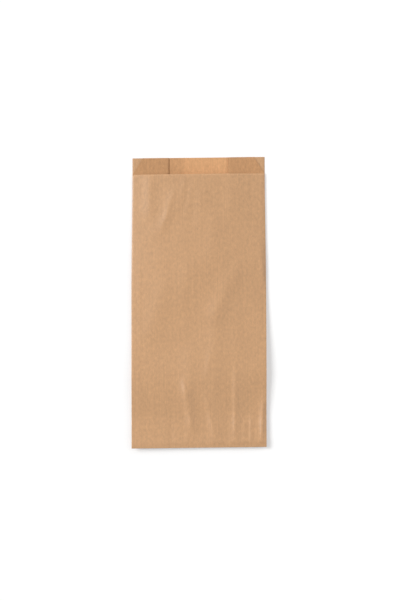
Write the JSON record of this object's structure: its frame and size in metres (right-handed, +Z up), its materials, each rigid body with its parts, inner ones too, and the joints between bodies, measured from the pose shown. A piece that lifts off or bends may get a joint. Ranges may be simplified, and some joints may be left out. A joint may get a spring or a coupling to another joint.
{
  "type": "paper bag",
  "caption": "Flat brown paper bag with pleated sides, a folded and pasted closed end, and a front panel cut short at the mouth.",
  "frame": {"origin": "on the surface that the bag lies on, under the middle of the flat bag", "axes": "+X across the bag to the right seen from the front panel, +Y from the closed end to the mouth, +Z up through the front panel"},
  "size_m": [0.13, 0.2811, 0.0066],
  "materials": {
    "paper": "unbleached brown wrapping paper, faintly glazed outside and matt inside"
  },
  "bodies": {
    "root": {"paper_bag": "paper"}
  },
  "joints": []
}
